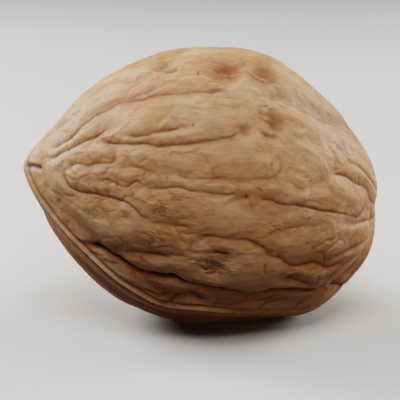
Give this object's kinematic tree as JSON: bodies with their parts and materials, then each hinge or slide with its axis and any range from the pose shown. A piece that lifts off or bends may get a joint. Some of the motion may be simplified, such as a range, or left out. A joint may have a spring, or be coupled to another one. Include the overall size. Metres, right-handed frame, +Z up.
{
  "type": "walnut in shell",
  "caption": "Whole walnut in its shell: a pointed, wrinkled woody nut with a raised seam, lying on its side on a small flat spot.",
  "frame": {"origin": "on the surface the nut rests on, under the centre of its bounding box", "axes": "+Z up, -X towards the pointed tip, -Y towards the broad furrowed side that faces the front"},
  "size_m": [0.0416, 0.0328, 0.0325],
  "materials": {
    "shell": "dry, matt, light tan shell with reddish-brown furrows"
  },
  "bodies": {
    "root": {"walnut": "shell"}
  },
  "joints": []
}
